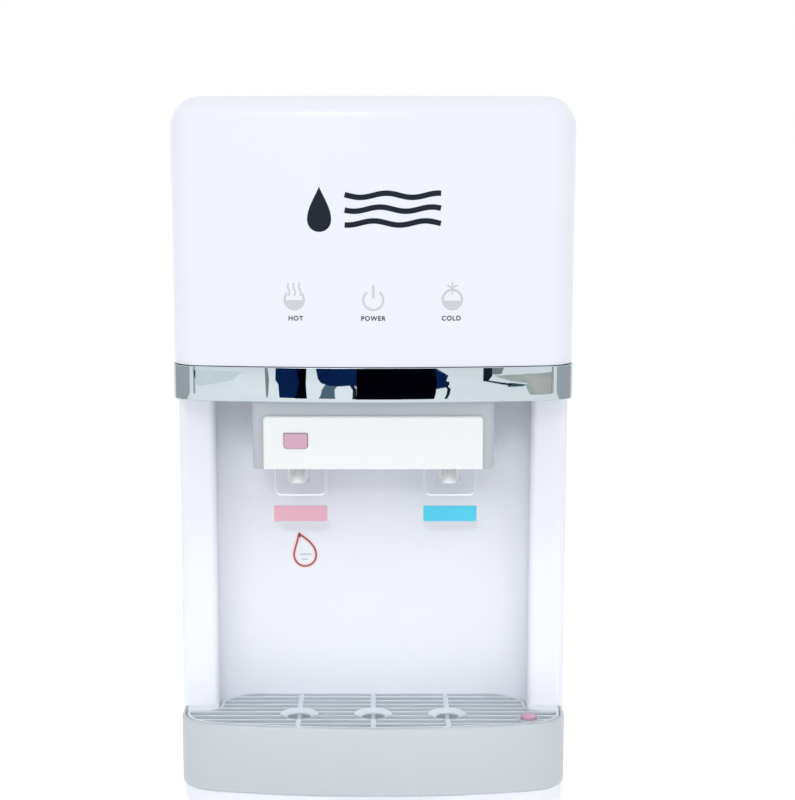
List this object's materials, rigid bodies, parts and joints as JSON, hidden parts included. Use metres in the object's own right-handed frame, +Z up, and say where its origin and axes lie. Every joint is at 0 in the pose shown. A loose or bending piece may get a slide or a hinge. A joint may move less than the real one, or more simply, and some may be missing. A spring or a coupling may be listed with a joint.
{
  "type": "countertop water dispenser",
  "caption": "White table-top hot and cold water dispenser with chrome band, clear cup levers, cup recess and lift-out drip tray.",
  "frame": {"origin": "on the surface it stands on, under the middle of the whole object", "axes": "+Z up, -Y out of the front, +X to the right of someone who faces the front"},
  "size_m": [0.26, 0.4, 0.475],
  "materials": {
    "body_white": "smooth white moulded plastic",
    "silver_plastic": "satin silver moulded plastic",
    "grey_plastic": "satin grey moulded plastic",
    "chrome": "polished chrome",
    "tap_plastic": "smooth food-safe white plastic",
    "clear_acrylic": "clear acrylic",
    "hot_pink": "pink plastic",
    "cold_blue": "sky blue plastic",
    "rubber_black": "matt black rubber",
    "black_plastic": "matt black plastic",
    "black_enamel": "black baked enamel",
    "steel": "bright steel",
    "zinc_plate": "zinc plated sheet",
    "copper": "drawn copper tube",
    "aluminium": "mill finish",
    "foam": "expanded polystyrene foam",
    "circuit_board": "green solder mask",
    "silicone": "translucent silicone",
    "switch_red": "red rocker",
    "switch_green": "green rocker"
  },
  "bodies": {
    "housing": {"base_pan": "body_white", "foot_front_left": "rubber_black", "foot_rear_left": "rubber_black", "foot_front_right": "rubber_black", "foot_rear_right": "rubber_black", "base_front_cover": "silver_plastic", "recess_panel": "body_white", "side_panel_left": "body_white", "side_panel_right": "body_white", "rear_cover": "body_white", "service_panel": "zinc_plate", "top_cover": "body_white", "head_front_cover": "body_white", "chrome_trim": "chrome", "head_floor": "body_white", "faucet_housing": "grey_plastic", "faucet_face": "body_white", "hot_lock_spring": "steel", "hot_tap_body": "tap_plastic", "hot_valve_spring": "steel", "cold_tap_body": "tap_plastic", "cold_valve_spring": "steel", "lever_pin": "steel", "cold_tank": "steel", "tank_gasket": "rubber_black", "evaporator_coil": "copper", "cold_tank_jacket": "foam", "float_valve_body": "tap_plastic", "hot_tank": "steel", "heater_band": "steel", "cold_supply_tube": "silicone", "hot_supply_tube": "silicone", "compressor": "black_enamel", "compressor_bracket": "zinc_plate", "condenser": "aluminium", "fan_frame": "black_plastic", "sediment_filter": "tap_plastic", "carbon_filter": "tap_plastic", "filter_head": "cold_blue", "indicator_board": "circuit_board", "power_board": "circuit_board", "power_inlet": "black_plastic", "water_inlet_fitting": "tap_plastic", "drain_fitting": "tap_plastic"},
    "hot_lever": {"hot_lever": "clear_acrylic", "hot_lever_strip": "hot_pink"},
    "cold_lever": {"cold_lever": "clear_acrylic", "cold_lever_strip": "cold_blue"},
    "hot_valve_stem": {"hot_valve_stem": "grey_plastic"},
    "cold_valve_stem": {"cold_valve_stem": "grey_plastic"},
    "hot_lock_button": {"hot_lock_button": "hot_pink"},
    "drip_pan": {"drip_pan": "grey_plastic"},
    "drip_grille": {"drip_grille": "grey_plastic"},
    "float_indicator": {"float_indicator": "hot_pink"},
    "top_lid": {"top_lid": "body_white"},
    "float_arm": {"float_arm": "tap_plastic"},
    "fan_rotor": {"fan_rotor": "black_plastic"},
    "hot_switch": {"hot_switch": "switch_red"},
    "cold_switch": {"cold_switch": "switch_green"},
    "drain_cap": {"drain_cap": "rubber_black"}
  },
  "joints": [
    {"name": "hot_lever_hinge", "type": "hinge", "parent": "housing", "child": "hot_lever", "pos_m": [-0.05, -0.15, 0.273], "axis": [1, 0, 0], "range_deg": [0, 10], "stiffness_Nm_per_rad": 1.2, "springref_deg": -8.59},
    {"name": "hot_valve_slide", "type": "slide", "parent": "housing", "child": "hot_valve_stem", "axis": [0, 0, -1], "range_m": [0, 0.003], "deforming": ["hot_valve_spring"]},
    {"name": "cold_lever_hinge", "type": "hinge", "parent": "housing", "child": "cold_lever", "pos_m": [0.05, -0.15, 0.273], "axis": [1, 0, 0], "range_deg": [0, 10], "stiffness_Nm_per_rad": 1.2, "springref_deg": -8.59},
    {"name": "cold_valve_slide", "type": "slide", "parent": "housing", "child": "cold_valve_stem", "axis": [0, 0, -1], "range_m": [0, 0.003], "deforming": ["cold_valve_spring"]},
    {"name": "hot_lock_press", "type": "slide", "parent": "housing", "child": "hot_lock_button", "axis": [0, 1, 0], "range_m": [0, 0.0025], "stiffness_N_per_m": 300, "springref_m": -0.004, "deforming": ["hot_lock_spring"]},
    {"name": "drip_pan_lift", "type": "slide", "parent": "housing", "child": "drip_pan", "axis": [0, 0, 1], "range_m": [0, 0.045]},
    {"name": "drip_grille_lift", "type": "slide", "parent": "drip_pan", "child": "drip_grille", "axis": [0, 0, 1], "range_m": [0, 0.05]},
    {"name": "float_rise", "type": "slide", "parent": "drip_pan", "child": "float_indicator", "axis": [0, 0, 1], "range_m": [0, 0.008]},
    {"name": "top_lid_lift", "type": "slide", "parent": "housing", "child": "top_lid", "axis": [0, 0, 1], "range_m": [0, 0.04]},
    {"name": "float_arm_hinge", "type": "hinge", "parent": "housing", "child": "float_arm", "pos_m": [0, 0.066, 0.432], "axis": [1, 0, 0], "range_deg": [0, 25]},
    {"name": "fan_spin", "type": "hinge", "parent": "housing", "child": "fan_rotor", "pos_m": [0, 0.147, 0.21], "axis": [0, 1, 0], "continuous": true},
    {"name": "hot_switch_rock", "type": "hinge", "parent": "housing", "child": "hot_switch", "pos_m": [-0.086, 0.19, 0.1], "axis": [1, 0, 0], "range_deg": [0, 16]},
    {"name": "cold_switch_rock", "type": "hinge", "parent": "housing", "child": "cold_switch", "pos_m": [-0.054, 0.19, 0.1], "axis": [1, 0, 0], "range_deg": [0, 16]},
    {"name": "drain_cap_pull", "type": "slide", "parent": "housing", "child": "drain_cap", "axis": [0, 1, 0], "range_m": [0, 0.012]}
  ],
  "couplings": [
    {"joint": "hot_valve_slide", "follows": "hot_lever_hinge", "m_per_rad": 0.015},
    {"joint": "cold_valve_slide", "follows": "cold_lever_hinge", "m_per_rad": 0.015}
  ]
}
